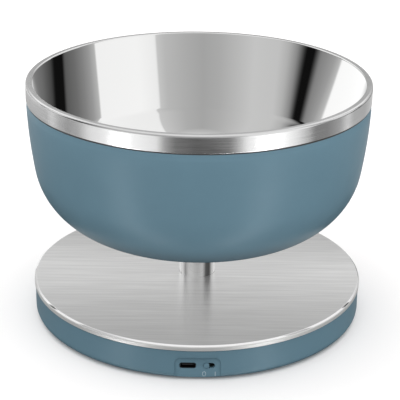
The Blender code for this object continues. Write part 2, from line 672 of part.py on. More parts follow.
def make_motor(can_paint, cover_paint, steel, shaft_paint, parent):
    """Flat gearmotor: a sealed can, its mounting plate, and the output shaft set off to one side."""
    top = 11.3 * MM
    edge = 0.8 * MM
    profile = [
        (0, COVER_TOP + GAP), (MOTOR_RADIUS - edge, COVER_TOP + GAP), (MOTOR_RADIUS, COVER_TOP + GAP + edge),
        (MOTOR_RADIUS, top), (0, top),
    ]
    can = turned("motor_can", profile, can_paint, MEDIUM_SEGMENTS, (0, MOTOR_Y))
    shaft_place = [(0, MOTOR_SHAFT_Y)]
    cut(can, rods("can_shaft_hole", shaft_place, 3 * MM, 7 * MM, 14 * MM))
    low, thick = 11.6 * MM, 1 * MM
    ear = 4 * MM
    outline = rounded(2 * (MOTOR_EAR_X + ear), 2 * ear, ear - 0.01 * MM, 4)
    ears = [(x, y + MOTOR_Y, low) for x, y in outline]
    plate = extruded("motor_plate", ears, (0, 0, thick), cover_paint)
    disc_radius = MOTOR_RADIUS - 0.4 * MM
    join(plate, rods("motor_plate_disc", [(0, MOTOR_Y)], disc_radius, low, low + thick, MEDIUM_SEGMENTS))
    cut(plate, rods("plate_shaft_hole", shaft_place, 3 * MM, low - MM, low + 3 * MM))
    cut(plate, rods("ear_holes", MOTOR_EAR_PLACES, 1.6 * MM, low - MM, low + 3 * MM, 8))
    for i, place in enumerate(MOTOR_EAR_PLACES, 1):
        screw(f"motor_screw_{i}", place, 14 * MM, 7.5 * MM, steel)
    shaft = [
        (0, 7.4 * MM), (MOTOR_SHAFT_RADIUS, 7.4 * MM), (MOTOR_SHAFT_RADIUS, 17.6 * MM),
        (MOTOR_SHAFT_RADIUS - 0.3 * MM, 17.9 * MM), (0, 17.9 * MM),
    ]
    turned("motor_shaft", shaft, shaft_paint, SMALL_SEGMENTS, parent=parent)


def make_board(paints):
    """Circuit board with the charging port, the slide switch's body, two sockets and the charge chip."""
    (cx, cy), (width, depth) = BOARD_CENTRE, BOARD_SIZE
    low = BOARD_TOP - BOARD_THICKNESS
    board = block("circuit_board", (cx - width / 2, cy - depth / 2, low),
                  (cx + width / 2, cy + depth / 2, BOARD_TOP), paints["board_green"])
    cut(board, rods("board_holes", BOARD_SCREW_PLACES, 1.6 * MM, low - MM, BOARD_TOP + MM, 8))
    for i, place in enumerate(BOARD_SCREW_PLACES, 1):
        screw(f"board_screw_{i}", place, BOARD_TOP + 1.4 * MM, 4.2 * MM, paints["zinc_steel"])
    seat = BOARD_TOP + GAP
    chip = block("charge_chip", (-2.5 * MM, -78 * MM, seat), (4.5 * MM, -71 * MM, seat + 1.2 * MM),
                 paints["black_plastic"])
    chip.data.shade_flat()
    for name, x in (("battery_socket", -8 * MM), ("motor_socket", 10 * MM)):
        low, high = (x - 3 * MM, -80 * MM, seat), (x + 3 * MM, -74.5 * MM, seat + 4.5 * MM)
        block(name, low, high, paints["white_acetal"])


def make_port(steel, tongue_paint):
    """USB-C receptacle: a drawn steel shell, closed behind, round a plastic tongue."""
    front, skin = PANEL_FACE_Y + 0.2 * MM, 0.35 * MM
    outer = facing_front(rounded(PORT_WIDTH, PORT_HEIGHT, 1.5 * MM), PORT_X, PORT_Z, front)
    shell = extruded("usb_c_shell", outer, (0, PORT_DEPTH, 0), steel)
    inner = facing_front(
        rounded(PORT_WIDTH - 2 * skin, PORT_HEIGHT - 2 * skin, 1.2 * MM), PORT_X, PORT_Z, front - MM
    )
    cut(shell, extruded("port_mouth", inner, (0, PORT_DEPTH + MM - skin, 0), None))
    half_wide, half_high = 3.3 * MM, 0.35 * MM
    tongue = block("usb_c_tongue", (PORT_X - half_wide, front + 1.2 * MM, PORT_Z - half_high),
                   (PORT_X + half_wide, front + 6 * MM, PORT_Z + half_high), tongue_paint)
    back = block("tongue_root", (PORT_X - 3.6 * MM, front + 5 * MM, PORT_Z - 1 * MM),
                 (PORT_X + 3.6 * MM, front + 6.7 * MM, PORT_Z + 1 * MM), None)
    join(tongue, back)


def make_switch(body_paint, knob_paint, parent):
    """Slide switch: a body on the board, and the knob that shows in the panel's slot."""
    half_wide = 4.6 * MM
    front, back = -95.4 * MM, -91 * MM
    low, high = BOARD_TOP + GAP, BOARD_TOP + 3.7 * MM
    left, right = SWITCH_X - half_wide, SWITCH_X + half_wide
    body = block("switch_body", (left, front, low), (right, back, high), body_paint)
    wall = 1.5 * MM
    window = block("switch_window", (left + wall, front - MM, PORT_Z - 1 * MM),
                   (right - wall, front + 2 * MM, PORT_Z + 1 * MM), None)
    cut(body, window)
    tip = PANEL_FACE_Y - 0.5 * MM
    outline = rounded(KNOB_WIDTH, KNOB_HEIGHT, 1.3 * MM, 3)
    face = [(x, tip, z) for x, z in outline]
    knob = extruded("switch_knob", face, (0, -95.8 * MM - tip, 0), knob_paint, parent)
    half, tall = 0.9 * MM, 0.7 * MM
    stem = block("knob_stem", (-half, -96.5 * MM, -tall), (half, front + 1.6 * MM, tall), None)
    join(knob, stem)


def make_battery(cell_paint, strap_paint):
    """Flat lithium cell, and the strap that holds it to the bottom cover."""
    (cx, cy), (width, depth, thick) = BATTERY_CENTRE, BATTERY_SIZE
    low = COVER_TOP + GAP
    outline = rounded(width, thick, 2 * MM, 3)
    corners = [(cx + x, cy - depth / 2, low + thick / 2 + z) for x, z in outline]
    extruded("battery_cell", corners, (0, depth, 0), cell_paint)
    half, top = 5 * MM, low + thick + GAP
    foot, sheet = 7 * MM, 1.2 * MM
    outer_x = width / 2 + GAP + sheet
    inner_x = width / 2 + GAP
    shape = [
        (-outer_x - foot, 0), (-outer_x - foot, sheet), (-outer_x, sheet), (-outer_x, top - low + sheet),
        (outer_x, top - low + sheet), (outer_x, sheet), (outer_x + foot, sheet), (outer_x + foot, 0),
        (inner_x, 0), (inner_x, top - low), (-inner_x, top - low), (-inner_x, 0),
    ]
    corners = [(cx + x, cy - half, low + z) for x, z in shape]
    extruded("battery_strap", corners, (0, 2 * half, 0), strap_paint)


def smooth_route(stops, steps):
    """Points along a smooth curve through the stops."""
    ends = [2 * stops[0] - stops[1], *stops, 2 * stops[-1] - stops[-2]]
    points = []
    for a, b, c, d in zip(ends, ends[1:], ends[2:], ends[3:]):
        for i in range(steps):
            t = i / steps
            bend = (2 * a - 5 * b + 4 * c - d) * t**2 + (3 * b - a - 3 * c + d) * t**3
            points.append(0.5 * (2 * b + (c - a) * t + bend))
    return [*points, stops[-1]]


def make_cable(name, stops, paint):
    """Insulated lead that runs through the given places, in millimetres."""
    curve = bpy.data.curves.new(name, "CURVE")
    curve.dimensions = "3D"
    curve.bevel_depth = 0.9 * MM
    curve.bevel_resolution = 2
    curve.use_fill_caps = True
    points = smooth_route([Vector(s) * MM for s in stops], 4)
    spline = curve.splines.new("POLY")
    spline.points.add(len(points) - 1)
    for target, point in zip(spline.points, points):
        target.co = (*point, 1)
    return add_object(name, curve, paint)


def pivot(name, place):
    """Empty on a joint's axis, which carries the pieces that move about it."""
    empty = bpy.data.objects.new(name, None)
    empty.location = place
    bpy.context.scene.collection.objects.link(empty)
    return empty


def main():
    for obj in list(bpy.data.objects):
        bpy.data.objects.remove(obj)
    paints = make_materials()
    steel = paints["zinc_steel"]

    rotor = pivot("rotor_axis", (0, 0, 0))
    bowl = pivot("bowl_axis", (0, 0, 0))
    upper_cage = pivot("upper_cage_axis", (0, 0, 0))
    lower_cage = pivot("lower_cage_axis", (0, 0, 0))
    motor = pivot("motor_axis", (0, MOTOR_SHAFT_Y, 0))
    knob = pivot("knob_axis", (SWITCH_X - SWITCH_TRAVEL / 2, 0, PORT_Z))
    bowl.parent = rotor

    make_liner(paints["polished_steel"], bowl)
    make_shell(paints["blue_shell"], bowl)
    make_rim_seal(paints["silicone"], bowl)
    make_drive_socket(paints["black_plastic"], steel, bowl)

    make_spindle(paints["bearing_steel"], rotor)
    make_retaining_ring(steel, rotor)
    race, cage = paints["bearing_steel"], paints["brass"]
    make_bearing("upper_bearing", UPPER_BEARING_Z, race, None, rotor, upper_cage, cage)
    make_bearing("lower_bearing", LOWER_BEARING_Z, race, None, rotor, lower_cage, cage)
    make_carrier(paints["black_plastic"], paints["silicone"], steel, rotor)
    hub = (7 * MM, GEAR_BOTTOM - 0.8 * MM, 18 * MM)
    gear_bore = FOOT_HEXAGON + 0.36 * MM
    make_gear("output_gear", GEAR_TEETH, pi / 2, gear_bore, paints["white_acetal"], rotor, 6, hub)
    screw("gear_screw", (0, 0), GEAR_BOTTOM - 2.7 * MM, 7 * MM, steel, head_radius=5.5 * MM,
          shank_radius=1.4 * MM, head_height=1.6 * MM, head_up=False, parent=rotor)

    make_post(paints["polished_steel"])
    make_post_fittings(paints["zinc_steel"], paints["polished_steel"])
    make_top_plate(paints["brushed_steel"])
    make_housing(paints["blue_shell"])
    make_cover(paints["black_plastic"], steel, paints["black_rubber"])
    make_plate_gasket(paints["black_rubber"])
    make_motor(steel, paints["brass"], steel, paints["bearing_steel"], motor)
    pinion_turn = pi / 2 + pi / PINION_TEETH
    make_gear("pinion", PINION_TEETH, pinion_turn, MOTOR_SHAFT_RADIUS + GAP, paints["brass"], motor)

    make_board(paints)
    make_port(steel, paints["black_plastic"])
    make_switch(paints["black_plastic"], paints["blue_shell"], knob)
    make_battery(paints["battery_wrap"], paints["black_plastic"])
    make_cable("battery_cable", BATTERY_CABLE_STOPS, paints["red_wire"])
    make_cable("motor_cable", MOTOR_CABLE_STOPS, paints["black_rubber"])


main()
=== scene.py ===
"""Looks of the motor-driven bowl on its rechargeable base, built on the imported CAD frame.

Lengths are in metres in the CAD's frame: +Z is up, the front is -Y, and the table is at z = 0.
"""

import json
from math import cos, pi, radians, sin, tan

import bmesh
import bpy
from mathutils import Matrix, Vector

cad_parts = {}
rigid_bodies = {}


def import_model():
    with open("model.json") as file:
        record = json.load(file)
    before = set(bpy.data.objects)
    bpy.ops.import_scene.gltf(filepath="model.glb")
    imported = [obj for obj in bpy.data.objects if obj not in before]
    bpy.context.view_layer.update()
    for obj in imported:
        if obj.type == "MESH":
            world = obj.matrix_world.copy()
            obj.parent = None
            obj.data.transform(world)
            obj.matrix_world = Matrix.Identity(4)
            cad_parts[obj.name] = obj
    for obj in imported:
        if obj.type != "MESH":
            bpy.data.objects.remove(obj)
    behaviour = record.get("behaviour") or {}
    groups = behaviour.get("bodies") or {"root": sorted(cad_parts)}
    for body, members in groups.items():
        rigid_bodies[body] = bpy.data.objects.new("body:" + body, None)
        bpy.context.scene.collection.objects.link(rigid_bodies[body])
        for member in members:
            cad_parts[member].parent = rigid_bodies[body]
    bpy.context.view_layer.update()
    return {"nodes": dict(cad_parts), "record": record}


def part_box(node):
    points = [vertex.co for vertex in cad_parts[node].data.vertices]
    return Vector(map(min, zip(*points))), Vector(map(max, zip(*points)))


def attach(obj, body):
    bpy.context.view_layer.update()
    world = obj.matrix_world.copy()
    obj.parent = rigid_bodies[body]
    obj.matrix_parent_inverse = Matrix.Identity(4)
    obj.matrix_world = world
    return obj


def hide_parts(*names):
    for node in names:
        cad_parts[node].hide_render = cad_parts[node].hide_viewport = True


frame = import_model()

MM = 0.001
ROUND = 192  # segments of the large turned pieces

# Sizes that several functions share, the same as in the CAD
SHEET = 1 * MM  # steel of the liner and of the top plate
POST_RADIUS = 11.1 * MM
PANEL_Y = -98.5 * MM  # face of the flat panel at the front of the base
PORT = (-4.4 * MM, 9.2 * MM)  # centre on the panel: across and up
SWITCH = (7.6 * MM, 9.2 * MM)


# Camera and light


def place_camera():
    """Camera in front of the object and above it, turned a little about its own axis."""
    elevation, roll, distance = radians(22.33), radians(0.71), 853.34 * MM
    target = Vector((1.34 * MM, 0, 69.31 * MM))
    forward = Vector((0, cos(elevation), -sin(elevation)))
    right = Vector((1, 0, 0))
    up = right.cross(forward)
    data = bpy.data.cameras.new("camera")
    data.sensor_width = 36
    data.lens = 125.78
    data.clip_start = 0.01
    camera = bpy.data.objects.new("camera", data)
    bpy.context.scene.collection.objects.link(camera)
    axes = Matrix((right * cos(roll) + up * sin(roll), up * cos(roll) - right * sin(roll), -forward))
    camera.matrix_world = Matrix.Translation(target - forward * distance) @ axes.transposed().to_4x4()
    bpy.context.scene.camera = camera


def add(tree, kind, inputs=None, **settings):
    """New node, with its settings and its inputs: values, or sockets to link from."""
    made = tree.nodes.new(kind)
    for name, value in settings.items():
        setattr(made, name, value)
    for name, value in (inputs or {}).items():
        if isinstance(value, bpy.types.NodeSocket):
            tree.links.new(value, made.inputs[name])
        else:
            made.inputs[name].default_value = value
    return made


def math(tree, operation, *values):
    made = add(tree, "ShaderNodeMath", dict(enumerate(values)), operation=operation)
    return made.outputs[0]


def ramp(tree, factor, stops):
    """Grey levels along a factor from 0 to 1."""
    made = add(tree, "ShaderNodeValToRGB", {"Fac": factor})
    points = made.color_ramp.elements
    while len(points) < len(stops):
        points.new(0.5)
    for point, (position, value) in zip(points, stops):
        point.position = position
        point.color = (value, value, value, 1)
    return made.outputs["Color"]


def smooth_step(tree, value, low, high):
    """0 below low, 1 above high, and a soft change in between."""
    inputs = {"Value": value, "From Min": low, "From Max": high}
    made = add(tree, "ShaderNodeMapRange", inputs, interpolation_type="SMOOTHSTEP")
    return made.outputs["Result"]


def mix(tree, factor, a, b, blend="MIX"):
    """Colour a with colour b laid over it by the factor."""
    inputs = {0: factor, 6: a, 7: b}  # the node's own numbers for the sockets of a colour mix
    return add(tree, "ShaderNodeMix", inputs, data_type="RGBA", blend_type=blend).outputs[2]


def flip(tree, value):
    """1 less the value."""
    return math(tree, "SUBTRACT", 1.0, value)


def bearing_of(tree, axes):
    """Angle about Z in radians, from the front round to the right."""
    return math(tree, "ARCTAN2", axes["X"], math(tree, "MULTIPLY", axes["Y"], -1.0))


def grey(value):
    return (value, value, value, 1)


# Studio cards round the object: degrees to the right of the camera's side, and brightness
FLOOR_CARDS = [
    (-180, 0.05), (-80, 0.05), (-64, 0.3), (-59, 6.5), (-49, 6.5), (-44, 0.3), (-30, 0.08), (-10, 0.05),
    (26, 0.08), (38, 0.3), (43, 6.5), (54, 6.5), (60, 0.3), (76, 0.05), (180, 0.05),
]
LOW_CARDS = [
    (-180, 0.40), (-118, 0.37), (-111, 0.55), (-104, 0.36), (-94, 0.24), (-84, 0.36), (-74, 0.80),
    (-64, 0.95), (-40, 0.98), (-27, 0.85), (-22, 0.35), (-15, 0.12), (-1, 0.05), (10, 0.07), (20, 0.15),
    (26, 0.40), (32, 0.85), (40, 1.0), (58, 1.0), (66, 0.75), (74, 0.42), (81, 0.17), (92, 0.20),
    (105, 0.35), (114, 0.65), (122, 0.45), (140, 0.40), (165, 0.55), (180, 0.7),
]
MIDDLE_CARDS = [
    (-180, 1.0), (-113, 0.95), (-112, 0.50), (-103, 0.33), (-90.5, 0.22), (-87.5, 0.09), (-85, 0.005),
    (-78, 0.005), (-75.5, 0.08), (-72, 0.24), (-65, 0.43), (-58, 0.53), (-40, 0.55), (-15, 0.40),
    (-3, 0.365), (10, 0.41), (24, 0.47), (30.2, 0.56), (31, 0.83), (45, 0.90), (79, 0.88), (79.8, 0.47),
    (86, 0.31), (93, 0.22), (101, 0.15), (112, 0.10), (115, 0.005), (126, 0.005), (131, 0.06), (145, 0.14),
    (172, 0.22), (180, 0.6),
]
HIGH_CARDS = [
    (-180, 0.62), (-160, 0.82), (-148, 1.0), (-121.5, 0.95), (-120.5, 0.10), (-116.5, 0.10), (-115.5, 0.80),
    (-96, 0.80), (-94.5, 0.25), (-86, 0.005), (-76, 0.005), (-73.5, 0.09), (-70, 0.28), (-65, 0.43),
    (-57, 0.53), (-40, 0.55), (-15, 0.41), (-3, 0.37), (10, 0.41), (30.2, 0.56), (31, 0.83), (77, 0.88),
    (77.8, 0.47), (93, 0.26), (95, 0.80), (121.5, 0.80), (122.5, 0.08), (127, 0.08), (128, 0.95),
    (148, 1.0), (160, 0.82), (180, 0.62),
]
# How far the middle and high cards lean: degrees round for each degree up, never more than STEEPEST
STEEPEST = 10
CARD_LEAN = [
    (-180, 0), (-150, -2), (-118, -7.6), (-105, -7.4), (-90, -3.9), (-80, -2.6), (-73, -1.6), (-55, -0.5),
    (0, 0.4), (30, 0.94), (80, 0.6), (100, 0), (120, -1.3), (140, -1.3), (180, 0),
]


def light_studio():
    """World of soft white and dark cards, and one large soft light overhead."""
    world = bpy.data.worlds.new("studio")
    bpy.context.scene.world = world
    world.use_nodes = True
    tree = world.node_tree
    tree.nodes.clear()
    place = add(tree, "ShaderNodeTexCoord").outputs["Generated"]
    axes = add(tree, "ShaderNodeSeparateXYZ", {"Vector": place}).outputs
    turn = math(tree, "MULTIPLY_ADD", bearing_of(tree, axes), 1 / (2 * pi), 0.5)
    height = axes["Z"]

    def cards(stops, place=turn):
        """Value that the stops give at a place on the way round."""
        return ramp(tree, place, [((a + 180) / 360, v) for a, v in stops])

    def above(low, high):
        """Soft step from one elevation to another, in degrees."""
        return smooth_step(tree, height, sin(radians(low)), sin(radians(high)))

    # The cards lean about a line below the horizon that is lowest at the back. Above lean_top the lean
    # grows no more, and then it fades out. Each round of the loop brings it closer to the lean where
    # the card stands.
    depth, deeper_behind, lean_top = 0.195, 0.045, -0.12
    line_depth = math(tree, "MULTIPLY_ADD", axes["Y"], deeper_behind, depth)
    rise = math(tree, "ADD", math(tree, "MINIMUM", height, lean_top), line_depth)
    rise = math(tree, "MULTIPLY", rise, flip(tree, above(-8, 3)))
    degrees_up = 58.4  # for each unit of height near that line
    lean_stops = [(a, (lean + STEEPEST) / (2 * STEEPEST)) for a, lean in CARD_LEAN]
    leaning = turn
    for _ in range(5):
        lean = math(tree, "MULTIPLY_ADD", cards(lean_stops, leaning), 2 * STEEPEST, -STEEPEST)
        leaning = math(tree, "MULTIPLY_ADD", math(tree, "MULTIPLY", lean, rise), -degrees_up / 360, turn)

    level = mix(tree, above(-28, -24), cards(FLOOR_CARDS), cards(LOW_CARDS))
    level = mix(tree, above(-18, -15.3), level, cards(MIDDLE_CARDS, leaning))
    # The high cards are dimmer low down behind the object
    behind = math(tree, "MULTIPLY", smooth_step(tree, axes["Y"], 0.4, 0.8), flip(tree, above(18.5, 21.5)))
    dim = math(tree, "MULTIPLY_ADD", behind, -0.45, 1.0)
    level = mix(tree, above(-9.5, 0), level, math(tree, "MULTIPLY", cards(HIGH_CARDS, leaning), dim))
    ceiling_glow = math(tree, "MULTIPLY", above(15, 50), 0.5)
    level = math(tree, "MAXIMUM", level, ceiling_glow)
    level = mix(tree, above(45, 56), level, grey(0.80))
    background = add(tree, "ShaderNodeBackground", {"Color": level, "Strength": 1.15})
    add(tree, "ShaderNodeOutputWorld", {"Surface": background.outputs[0]})

    data = bpy.data.lights.new("overhead_softbox", "AREA")
    data.shape = "DISK"
    data.size = 5
    data.energy = 62
    light = bpy.data.objects.new("overhead_softbox", data)
    light.location = (-0.7, -0.5, 1.9)
    light.visible_glossy = False
    bpy.context.scene.collection.objects.link(light)
    bpy.context.scene.view_settings.view_transform = "Standard"


def white_paper(name, colour, glow):
    """Matt paper that gives off a little light of its own."""
    made, _, shader = principled(name, colour, 0.9, Specular_IOR_Level=0, Emission_Strength=glow)
    shader.inputs["Emission Color"].default_value = grey(1)
    return made


def make_studio():
    """Pale floor, and a white backdrop that only the camera sees."""
    floor_radius, dome_radius, segments = 6, 12, 64
    paper = white_paper("floor_paper", (0.87, 0.855, 0.85), 0.06)
    floor = lathe("floor", [(0, 0), (floor_radius, 0)], [paper], segments, closed=False)
    floor.visible_glossy = False
    floor.visible_diffuse = False
    paper = white_paper("backdrop_paper", (0, 0, 0), 1.1)
    dome = lathe("backdrop", arc((0, 0), dome_radius, -90, 90, steps=24), [paper], segments, closed=False)
    for ray in ("diffuse", "glossy", "transmission", "shadow", "volume_scatter"):
        setattr(dome, f"visible_{ray}", False)


# Shape helpers


def mesh_piece(name, bm, materials, sharp=30):
    """Object with smooth shading that breaks at edges sharper than so many degrees."""
    bmesh.ops.recalc_face_normals(bm, faces=bm.faces)
    mesh = bpy.data.meshes.new(name)
    bm.to_mesh(mesh)
    bm.free()
    for paint in materials:
        if paint:
            mesh.materials.append(paint)
    mesh.shade_smooth()
    mesh.set_sharp_from_angle(angle=radians(sharp))
    obj = bpy.data.objects.new(name, mesh)
    bpy.context.scene.collection.objects.link(obj)
    return obj


def arc(centre, radius, start, end, steps):
    """Points on a circle from one angle to another, in degrees."""
    angles = [radians(start + (end - start) * i / steps) for i in range(steps + 1)]
    return [(centre[0] + radius * cos(a), centre[1] + radius * sin(a)) for a in angles]


def circle(centre, radius, count, first=0):
    """Equally spaced points on a circle, the first of them at an angle in degrees."""
    angles = [radians(first) + 2 * pi * i / count for i in range(count)]
    return [(centre[0] + radius * cos(a), centre[1] + radius * sin(a)) for a in angles]


def filleted(corners, closed=True):
    """Outline of (x, y, fillet radius, paint index) corners with each fillet drawn out as an arc.

    The result is (x, y, paint index) points. A corner's paint covers its fillet and the run after it.
    """
    points = []
    count = len(corners)
    for i, (x, y, radius, paint) in enumerate(corners):
        here = Vector((x, y))
        if radius <= 0 or (not closed and i in (0, count - 1)):
            points.append((x, y, paint))
            continue
        before = (Vector(corners[i - 1][:2]) - here).normalized()
        after = (Vector(corners[(i + 1) % count][:2]) - here).normalized()
        half = before.angle(after) / 2
        centre = here + (before + after).normalized() * radius / sin(half)
        start = here + before * radius / tan(half) - centre
        sweep = start.angle_signed(here + after * radius / tan(half) - centre)
        step = radians(7 if radius < 5 * MM else 3)
        steps = max(3, round(abs(sweep) / step))
        for k in range(steps + 1):
            a = -sweep * k / steps
            across = start.x * cos(a) - start.y * sin(a)
            up = start.x * sin(a) + start.y * cos(a)
            points.append((centre.x + across, centre.y + up, paint))
    return points


def supported(outline, closed):
    """Adds a point near both ends of each straight side, so that smooth shading leaves it straight.

    A side is told from one step of an arc by being far longer than the run before or after it.
    """
    shortest_side, times_longer, inset = 1 * MM, 3, 0.2 * MM
    points, count = [], len(outline)
    runs = [Vector(outline[(i + 1) % count][:2]) - Vector(outline[i][:2]) for i in range(count)]
    for i, here in enumerate(outline):
        run = runs[i]
        points.append(here)
        near = min(runs[i - 1].length, runs[(i + 1) % count].length)
        if run.length < max(shortest_side, times_longer * near) or (not closed and i == count - 1):
            continue
        share = min(inset / run.length, 0.1)
        for part in (share, 1 - share):
            points.append((here[0] + run.x * part, here[1] + run.y * part, *here[2:]))
    return points


def lathe(name, outline, materials, segments=ROUND, centre=(0, 0), closed=True):
    """Turns an outline about a vertical axis: (radius, height) points, or (radius, height, paint index)."""
    bm = bmesh.new()
    rings = []
    outline = supported(outline, closed)
    for r, z, *_ in outline:
        on_axis = r < 1e-7
        places = [centre] if on_axis else circle(centre, r, segments)
        rings.append([bm.verts.new((x, y, z)) for x, y in places])
    pairs = list(zip(rings, rings[1:]))
    if closed and len(rings) > 2:
        pairs.append((rings[-1], rings[0]))
    for index, (a, b) in enumerate(pairs):
        paint = outline[index][2] if len(outline[index]) > 2 else 0
        for i in range(segments):
            j = (i + 1) % segments
            corners = [a[i % len(a)], a[j % len(a)], b[j % len(b)], b[i % len(b)]]
            corners = list(dict.fromkeys(corners))
            if len(corners) > 2:
                bm.faces.new(corners).material_index = paint
    return mesh_piece(name, bm, materials)


def prism(name, outline, along, materials=()):
    """Solid whose end face has these 3-D corners, drawn out along a vector."""
    bm = bmesh.new()
    face = bm.faces.new([bm.verts.new(c) for c in outline])
    grown = bmesh.ops.extrude_face_region(bm, geom=[face])
    moved = [g for g in grown["geom"] if isinstance(g, bmesh.types.BMVert)]
    bmesh.ops.translate(bm, verts=moved, vec=along)
    return mesh_piece(name, bm, materials)


def rod(place, radius, low, high, sides=48):
    """Upright cutter, or a pin to join on."""
    ring = [(x, y, low) for x, y in circle(place, radius, sides)]
    return prism("tool", ring, (0, 0, high - low))


def rounded(width, height, radius, steps=8):
    """Rectangle with round corners, about the origin."""
    x, y = width / 2 - radius, height / 2 - radius
    points = []
    for i, centre in enumerate([(x, y), (-x, y), (-x, -y), (x, -y)]):
        points += arc(centre, radius, 90 * i, 90 * i + 90, steps)
    return points


def bar(name, size, place, front, depth, materials=()):
    """Bar that runs back from the front: size is what rounded() takes, and place is across and up."""
    outline = [(place[0] + x, front, place[1] + z) for x, z in rounded(*size)]
    return prism(name, outline, (0, depth, 0), materials)


def settle(obj):
    """Writes the object's modifiers into its mesh."""
    made = bpy.data.meshes.new_from_object(obj.evaluated_get(bpy.context.evaluated_depsgraph_get()))
    obj.modifiers.clear()
    obj.data = made
    made.shade_smooth()
    made.set_sharp_from_angle(angle=radians(30))


def shape_with(obj, tools, operation="DIFFERENCE", edge=0.0):
    """Cuts tools out of the object, or joins them to it, and then eases the sharp edges."""
    for tool in tools:
        step = obj.modifiers.new(tool.name, "BOOLEAN")
        step.operation = operation
        step.solver = "EXACT"
        step.object = tool
    settle(obj)
    for tool in tools:
        bpy.data.objects.remove(tool)
    if edge:
        ease = obj.modifiers.new("edge", "BEVEL")
        ease.width = edge
        ease.segments = 3
        ease.limit_method = "ANGLE"
        ease.angle_limit = radians(50)
        ease.harden_normals = True
        settle(obj)


def use(piece, body, slot, *nodes):
    """The piece rides on a body and stands for CAD nodes. The slot is not used."""
    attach(piece, body)
    if nodes:
        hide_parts(*nodes)


# Materials


def principled(name, colour, roughness, metallic=0, **sockets):
    """New material, its node tree and its shader. Other sockets are named with _ for each space."""
    made = bpy.data.materials.new(name)
    made.use_nodes = True
    shader = made.node_tree.nodes["Principled BSDF"]
    shader.inputs["Base Color"].default_value = (*colour, 1)
    shader.inputs["Roughness"].default_value = roughness
    shader.inputs["Metallic"].default_value = metallic
    for socket, value in sockets.items():
        shader.inputs[socket.replace("_", " ")].default_value = value
    return made, made.node_tree, shader


def object_place(tree, scale=(1, 1, 1)):
    place = add(tree, "ShaderNodeTexCoord").outputs["Object"]
    return add(tree, "ShaderNodeMapping", {"Vector": place, "Scale": scale}).outputs["Vector"]


def object_axes(tree):
    """X, Y and Z of the piece's own coordinates."""
    place = add(tree, "ShaderNodeTexCoord").outputs["Object"]
    return add(tree, "ShaderNodeSeparateXYZ", {"Vector": place}).outputs


def round_place(tree, around, upward):
    """Coordinates for a grain that wraps round the Z axis, each way to its own scale."""
    place = add(tree, "ShaderNodeTexCoord").outputs["Object"]
    length = add(tree, "ShaderNodeVectorMath", {0: place}, operation="NORMALIZE").outputs[0]
    sides = add(tree, "ShaderNodeSeparateXYZ", {"Vector": length}).outputs
    return add(tree, "ShaderNodeCombineXYZ", {
        "X": math(tree, "MULTIPLY", sides["X"], around),
        "Y": math(tree, "MULTIPLY", sides["Y"], around),
        "Z": math(tree, "MULTIPLY", object_axes(tree)["Z"], upward),
    }).outputs["Vector"]


def noise(tree, place, scale=1.0, detail=4.0, rough=0.6):
    inputs = {"Vector": place, "Scale": scale, "Detail": detail, "Roughness": rough}
    return add(tree, "ShaderNodeTexNoise", inputs).outputs["Fac"]


def spread(tree, value, low, high):
    """Takes 0.3 to 0.7, where most of a noise lies, to the range from low to high."""
    inputs = {"Value": value, "From Min": 0.3, "From Max": 0.7, "To Min": low, "To Max": high}
    return add(tree, "ShaderNodeMapRange", inputs).outputs["Result"]


def vary_colour(tree, shader, value, colour, amount):
    """Darkens and lightens the colour by up to that share of it. Returns the socket of the result."""
    dark = (*[c * (1 - amount) for c in colour], 1)
    light = (*[min(1, c * (1 + amount)) for c in colour], 1)
    varied = mix(tree, spread(tree, value, 0, 1), dark, light)
    tree.links.new(varied, shader.inputs["Base Color"])
    return varied


def bump(tree, shader, value, strength, distance):
    made = add(tree, "ShaderNodeBump", {"Height": value, "Strength": strength, "Distance": distance})
    tree.links.new(made.outputs["Normal"], shader.inputs["Normal"])


def mirror_steel(name, colour, low, high):
    """Polished steel: a faint haze that changes from place to place."""
    made, tree, shader = principled(name, colour, low, 1)
    haze = noise(tree, object_place(tree), scale=25, detail=3)
    tree.links.new(spread(tree, haze, low, high), shader.inputs["Roughness"])
    vary_colour(tree, shader, noise(tree, object_place(tree), scale=9, detail=2), colour, amount=0.015)
    return made


def ring_brushed_steel(name, colour, roughness, anisotropic, metallic=1.0):
    """Steel brushed round the Z axis: fine grooves that run round, so reflections smear up and down."""
    made, tree, shader = principled(
        name, colour, roughness, metallic, Anisotropic=anisotropic, Anisotropic_Rotation=0.25,
    )
    tangent = add(tree, "ShaderNodeTangent", direction_type="RADIAL", axis="Z").outputs[0]
    tree.links.new(tangent, shader.inputs["Tangent"])
    grain = noise(tree, round_place(tree, around=5.0, upward=2600.0), detail=5, rough=0.65)
    vary_colour(tree, shader, grain, colour, amount=0.06)
    tree.links.new(spread(tree, grain, roughness - 0.05, roughness + 0.05), shader.inputs["Roughness"])
    bump(tree, shader, grain, strength=0.25, distance=0.01 * MM)
    return made


# Painted shade on the brushed plate: its colour darkens from the line across its middle to this far in front of
# it and behind it
PLATE_PAINTED_SHADE_REACH = 100 * MM
PLATE_PAINTED_SHADE = [(0, 1.0), (0.1, 1.0), (0.25, 0.93), (0.5, 0.80), (0.75, 0.70), (1, 0.64)]


